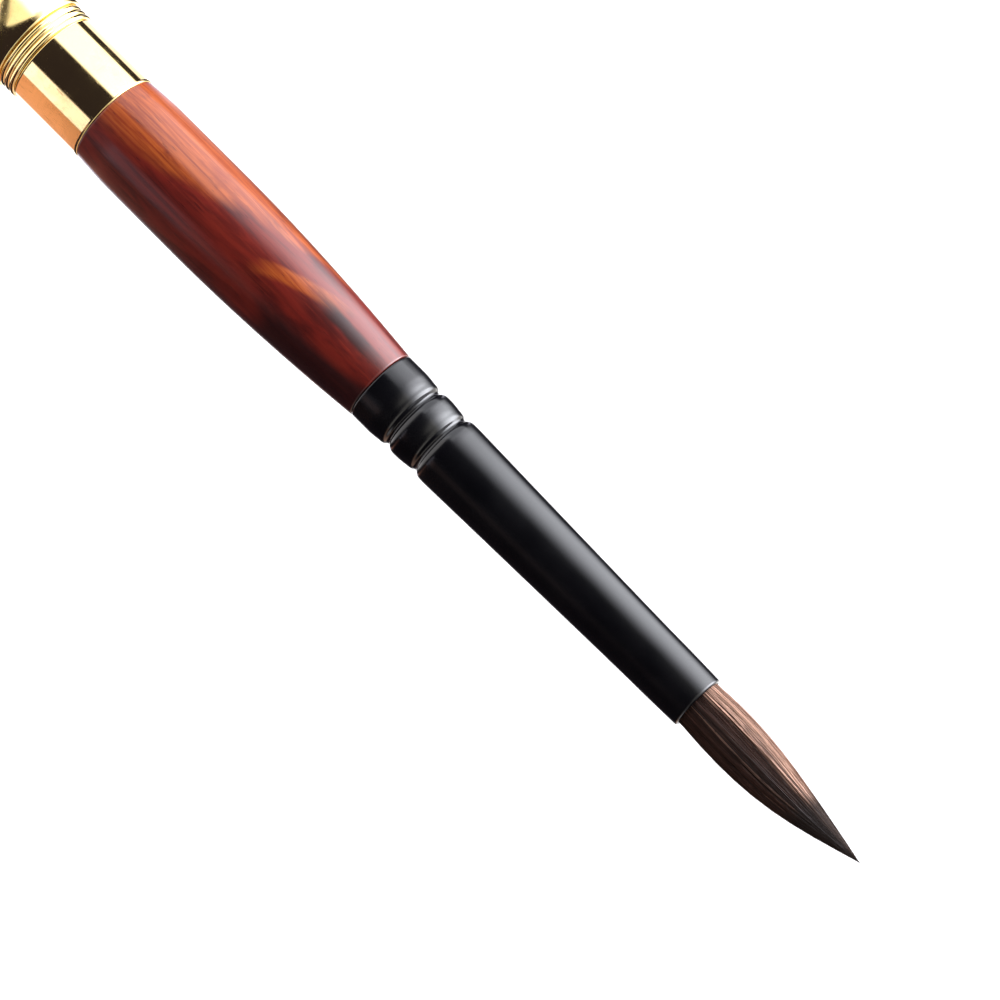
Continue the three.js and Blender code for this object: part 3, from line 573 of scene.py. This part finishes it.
# ---- Hair ----
TUFT_LEAN = 0.20 * MM  # how far the hair's belly leans to +X
HAIRS = 2700
HAIR_POINTS = 11
HAIR_RADIUS = 0.048 * MM
CLUMPS = 46
PAINTED_LIGHT_SIDE = -165  # where round the tuft, in degrees from +X, light is painted into the hair's colour, so its hair is lightest there
WISPS = 6  # hairs that are lighter than those round them
STRAYS = 10  # hairs that stand out of the tuft
HAIR_SIDES = 3
HAIR_HELD = 1.5 * MM  # how far behind the ferrule's mouth a hair starts
CORE_SHARE = 0.84  # of the tuft's radius, filled by packed hair


def tuft_shape():
    """Functions of z for the tuft's radius and lean, and the heights of its root, mouth and tip."""
    root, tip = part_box("tuft_root")[0].z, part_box("tuft_point")[1].z
    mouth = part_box("ferrule")[1].z
    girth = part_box("tuft_point")[1].x
    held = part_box("binding_thread")[1].x
    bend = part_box("tuft_point")[0].z + girth

    def radius(z):
        swell = np.clip((z - mouth) / (bend - mouth), 0, 1)
        rear = held + (girth - held) * swell * (2 - swell)
        taper = 1 - np.clip((z - bend) / (tip - bend), 0, 1) ** 1.9
        return rear * taper + 0.03 * MM

    def lean(z):
        u = np.clip((z - mouth) / (tip - mouth), 0, 1)
        return TUFT_LEAN * np.sin(math.pi * u**1.25) ** 1.5 - 0.12 * MM * u**4

    return radius, lean, root, mouth, tip


def hair_strands():
    """Single hairs from the ferrule to the point, in loose clumps, with a few stray ones, and a tone for
    each, with light painted into it on one side of the tuft.
    """
    radius_at, lean_at, _, mouth, tip = tuft_shape()
    u = np.linspace(0, 1, HAIR_POINTS)[None, :]
    outermost = rng.random(HAIRS) < 0.62
    layer = np.where(outermost, rng.uniform(0.94, 1.0, HAIRS), rng.uniform(0.78, 0.94, HAIRS))
    start = mouth - HAIR_HELD
    reach = 1 - 0.42 * rng.random(HAIRS) ** 1.7
    end = start + (tip - start) * reach
    angle = rng.uniform(0, 2 * math.pi, HAIRS)
    clump = np.floor(angle / (2 * math.pi) * CLUMPS).astype(int)
    clump_tone = rng.normal(0, 1, CLUMPS)
    clump_lift = rng.normal(0, 1, CLUMPS)
    z = start + (end - start)[:, None] * u
    share = (z - start) / (tip - start)
    centre = (clump + 0.5) * 2 * math.pi / CLUMPS
    pull = 0.30 * share**2
    waves = share * rng.uniform(0.4, 1.3, HAIRS)[:, None] + rng.random(HAIRS)[:, None]
    wander = 0.05 * np.sin(2 * math.pi * waves)
    around = angle[:, None] * (1 - pull) + centre[:, None] * pull + wander
    lift = 1 + 0.018 * clump_lift[clump][:, None] * np.sin(math.pi * share)
    lift = lift + rng.normal(0, 0.006, HAIRS)[:, None]
    tuck = 1 - 0.10 * u**4
    belly = 1 + 0.045 * np.sin(math.pi * share) ** 2
    out = radius_at(z) * layer[:, None] * lift * tuck * belly - HAIR_RADIUS * 0.5
    out = np.maximum(out, 0.012 * MM)
    stray = rng.choice(HAIRS, STRAYS, replace=False)
    out[stray] += 0.16 * MM * np.sin(math.pi * share[stray]) * rng.random(STRAYS)[:, None]
    thickness = HAIR_RADIUS * rng.uniform(0.75, 1.15, HAIRS)[:, None] * (1 - 0.86 * u**2.2)
    middle = np.stack([out * np.cos(around) + lean_at(z), out * np.sin(around), z], axis=2)
    outward = np.stack([np.cos(around), np.sin(around), np.zeros_like(around)], axis=2)
    sideways = np.stack([-np.sin(around), np.cos(around), np.zeros_like(around)], axis=2)
    rings = []
    for k in range(HAIR_SIDES):
        turn = 2 * math.pi * (k + 0.25) / HAIR_SIDES
        reach_out = 0.45 * math.cos(turn) * outward + math.sin(turn) * sideways
        rings.append(middle + thickness[:, :, None] * reach_out)
    vertices = np.stack(rings, axis=2).reshape(-1, 3)
    faces = []
    for hair in range(HAIRS):
        base = hair * HAIR_POINTS * HAIR_SIDES
        faces.append([base + 2, base + 1, base])
        for k in range(HAIR_POINTS - 1):
            low = base + k * HAIR_SIDES
            high = low + HAIR_SIDES
            for side in range(HAIR_SIDES):
                n = (side + 1) % HAIR_SIDES
                faces.append([low + side, low + n, high + n, high + side])
        last = base + (HAIR_POINTS - 1) * HAIR_SIDES
        faces.append([last, last + 1, last + 2])
    # Painted light: hairs on the side of the tuft towards the key light get a lighter tone, standing in for
    # the light falling there; the rest of the tone differs at random by clump and by hair.
    painted_lit = np.clip((np.cos(angle - math.radians(PAINTED_LIGHT_SIDE)) - 0.45) / 0.42, 0, 1)
    tone = np.clip(0.24 + 0.56 * painted_lit + 0.09 * clump_tone[clump] + 0.13 * rng.normal(0, 1, HAIRS), 0, 1)
    tone[rng.choice(HAIRS, WISPS, replace=False)] = 0.6
    tone_of_vertices = np.repeat(tone, HAIR_POINTS * HAIR_SIDES)
    return vertices, faces, tone_of_vertices, np.repeat(share.reshape(-1), HAIR_SIDES)


def carry(mesh, **values):
    """Gives the mesh's points named values that its material reads."""
    for name, of_points in values.items():
        layer = mesh.attributes.new(name, "FLOAT", "POINT")
        layer.data.foreach_set("value", of_points.astype(np.float32))


def tuft():
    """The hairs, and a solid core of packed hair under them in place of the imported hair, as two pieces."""
    radius_at, lean_at, root, mouth, tip = tuft_shape()
    vertices, faces, tone, along = hair_strands()
    mesh = bpy.data.meshes.new("hair_tuft")
    mesh.from_pydata([tuple(v) for v in vertices], [], faces)
    carry(mesh, tone=tone, along=along)
    mesh.shade_smooth()
    piece = add("hair_tuft", mesh, materials["hair"], None, "hair", "tuft_point")
    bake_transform(piece)

    top = mouth + 0.93 * (tip - mouth)
    heights = root + (top - root) * np.linspace(0, 1, 40)[:-1]
    sides_of_core = [(float(radius_at(z)) * CORE_SHARE, z) for z in heights]
    core = turn_mesh("hair_core", np.array([(0.0, root)] + sides_of_core + [(0.0, top)]), False, 96)
    for vertex in core.vertices:
        vertex.co.x += float(lean_at(vertex.co.z))
    share = np.array([(v.co.z - mouth) / (tip - mouth) for v in core.vertices])
    carry(core, tone=np.full(len(share), 0.12), along=share)
    inner = add("hair_core", core, materials["hair"], None, "hair", "tuft_root")
    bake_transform(inner)


# ---- Studio ----
CAMERA_HEIGHT_ANGLE = 9.6  # degrees above the aim point, seen from -Y
CAMERA_DISTANCE = 0.470
CAMERA_LENS = 180.0
AIM_IN_FRONT_OF_GRIP = 15.9 * MM
AIM_ASIDE = -0.33 * MM


def camera():
    """A long lens that sees the brush lie across the picture, its tip to the lower right."""
    lift = math.radians(CAMERA_HEIGHT_ANGLE)
    s, c = math.sin(lift), math.cos(lift)
    aim = Vector((AIM_ASIDE, 0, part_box("grip_sleeve")[1].z + AIM_IN_FRONT_OF_GRIP))
    back = Vector((0, -c, s))
    right = Vector((-1, s, c)) / math.sqrt(2)
    up = Vector((-1, -s, -c)) / math.sqrt(2)
    data = bpy.data.cameras.new("camera")
    data.lens = CAMERA_LENS
    data.sensor_width = 36.0
    data.clip_start, data.clip_end = 0.01, 100.0
    view = bpy.data.objects.new("camera", data)
    view.matrix_world = Matrix.Translation(aim + back * CAMERA_DISTANCE) @ Matrix(
        (right, up, back)
    ).transposed().to_4x4()
    bpy.context.scene.collection.objects.link(view)
    bpy.context.scene.camera = view


def studio_light():
    """Soft boxes painted on the sky by direction: azimuth in degrees from -Y towards +X, and height."""
    world = bpy.data.worlds.new("studio")
    bpy.context.scene.world = world
    world.use_nodes = True
    tree = world.node_tree
    tree.nodes.clear()

    def node(kind, *inputs, **settings):
        made = tree.nodes.new(kind)
        for setting, value in settings.items():
            setattr(made, setting, value)
        for socket, value in zip(made.inputs, inputs):
            if isinstance(value, bpy.types.NodeSocket):
                tree.links.new(value, socket)
            elif value is not None:
                socket.default_value = value
        return made

    def calc(operation, a, b=None):
        return node("ShaderNodeMath", a, b, operation=operation).outputs[0]

    def rise(value, low, high, to_low=0.0, to_high=1.0):
        made = node("ShaderNodeMapRange", value, low, high, to_low, to_high, interpolation_type="SMOOTHSTEP")
        return made.outputs["Result"]

    def band(value, low, high, soft):
        half = soft / 2
        return calc("MULTIPLY", rise(value, low - half, low + half), rise(value, high + half, high - half))

    direction = node("ShaderNodeTexCoord").outputs["Generated"]
    x, y, z = node("ShaderNodeSeparateXYZ", direction).outputs
    azimuth = calc("MULTIPLY", calc("ARCTAN2", x, calc("MULTIPLY", y, -1.0)), math.degrees(1))
    height = calc("MULTIPLY", calc("ARCSINE", z), math.degrees(1))

    def product(*factors):
        result = factors[0]
        for factor in factors[1:]:
            result = calc("MULTIPLY", result, factor)
        return result

    def merge(share, low, high):
        return calc("ADD", product(low, calc("SUBTRACT", 1.0, share)), product(high, share))

    def line(at_left, slope):
        """The height over a line that rises across the front gap, from its left side."""
        along = calc("MULTIPLY", calc("MINIMUM", azimuth, 40.0), slope)
        return calc("SUBTRACT", height, calc("ADD", along, at_left + 24 * slope))

    # The soft box on the left: crisp where the gold mirrors it, and above that falling off towards
    # the camera and towards the back.
    crisp = band(azimuth, -106, -34, 7)
    faded = merge(rise(height, -9.2, -7.2), rise(azimuth, -34, -76), rise(azimuth, -22, -84))
    box = merge(rise(height, -14.0, -11.0), crisp, product(faded, rise(azimuth, -138, -94)))
    power = calc("ADD", rise(height, -15.6, -14.6, 2.3, 4.4), rise(height, -9.3, -6.8, 0.0, 5.4))
    power = calc("SUBTRACT", power, rise(height, -13.0, -10.4, 0.0, 1.1))
    power = calc("SUBTRACT", power, rise(height, -6.4, -3.8, 0.0, 3.5))
    power = product(calc("ADD", power, rise(height, -3.0, 1.5, 0.0, 12.0)), rise(height, 39.0, 33.0))
    # What the collar mirrors on the right, and what the bell mirrors in front, cut by a dark streak.
    low = product(rise(height, -15.3, -15.9), rise(height, -19.0, -17.6))
    streak = rise(calc("ABSOLUTE", line(18.3, -0.16)), 1.6, 2.8)
    front = product(rise(line(-2.8, 0.2), 1.8, 3.4), streak, rise(height, 34, 28))
    # A high ceiling over the back, a soft tall strip behind the brush, and a warm glow on the wood.
    behind = product(calc("SUBTRACT", 1.0, band(azimuth, -30, 110, 30)), rise(height, 30.0, 45.0))
    strip = product(rise(calc("ABSOLUTE", azimuth), 152, 180), band(height, -60, 70, 10))
    glow = product(band(azimuth, 50, 68, 10), band(height, -13.5, -9.5, 1.5))
    floor_bounce = product(band(azimuth, -40, 150, 30), rise(height, -27, -34))
    lights = [
        (product(box, power), rgb(0.95, 0.97, 1.03)),
        (product(front, band(azimuth, -36, 78, 8), 1.3), rgb(1.0, 0.97, 0.88)),
        (product(front, band(azimuth, 78, 165, 8), 0.9), rgb(1.0, 0.62, 0.45)),
        (product(rise(azimuth, -112, -120), band(height, 6, 36, 6), 1.5), rgb(1.0, 0.97, 0.93)),
        (product(band(azimuth, 39, 76, 4), low, 1.9), rgb(1.0, 0.97, 1.15)),
        (product(band(azimuth, 77, 150, 4), low, 0.9), rgb(1.0, 0.48, 0.34)),
        (product(rise(azimuth, 148, 154), low, 1.6), rgb(1.0, 0.97, 1.1)),
        (product(rise(azimuth, -125, -131), low, 1.6), rgb(1.0, 0.97, 1.1)),
        (product(behind, 1.2), rgb(0.98, 0.98, 1.0)),
        (product(strip, 1.5), rgb(1.0, 0.99, 0.97)),
        (product(glow, 0.55), rgb(1.0, 0.6, 0.5)),
        (product(floor_bounce, 2.0), rgb(1.0, 0.97, 0.97)),
        (0.026, rgb(1.0, 0.78, 1.0)),
    ]
    total = None
    for strength, colour in lights:
        light = node("ShaderNodeBackground", colour, strength).outputs[0]
        total = light if total is None else node("ShaderNodeAddShader", total, light).outputs[0]
    plain = node("ShaderNodeBackground", rgb(1.0, 1.0, 1.0), 1.0).outputs[0]
    seen = node("ShaderNodeLightPath").outputs["Is Camera Ray"]
    surface = node("ShaderNodeMixShader", seen, total, plain).outputs[0]
    tree.links.new(surface, node("ShaderNodeOutputWorld").inputs["Surface"])


def floor():
    """A pale floor, with painted shade that makes it a little darker towards +X. The polished pieces mirror
    the painted studio and not the floor."""
    size = 12.0
    mesh = bpy.data.meshes.new("floor")
    corners = [(-size, -size, 0), (size, -size, 0), (size, size, 0), (-size, size, 0)]
    mesh.from_pydata(corners, [], [(0, 1, 2, 3)])
    recipe = Recipe("floor", Roughness=0.9, Specular_IOR_Level=0.1)
    cloud = recipe.noise(0.02, 0.02, 2)
    pale = recipe.mix(cloud, rgb(0.81, 0.81, 0.82), rgb(0.83, 0.83, 0.84))
    # Painted shade: the floor's colour darkens towards +X.
    recipe.set(Base_Color=recipe.mix(recipe.rise(recipe.x, 0, 160), pale, rgb(0.74, 0.74, 0.76)))
    mesh.materials.append(recipe.material)
    ground = bpy.data.objects.new("floor", mesh)
    bpy.context.scene.collection.objects.link(ground)
    ground.visible_glossy = False
    ground.visible_diffuse = False
    ground.visible_shadow = False
    ground.visible_transmission = False


camera()
studio_light()
floor()
turned_pieces()
tuft()
bpy.context.scene.view_settings.view_transform = "Standard"
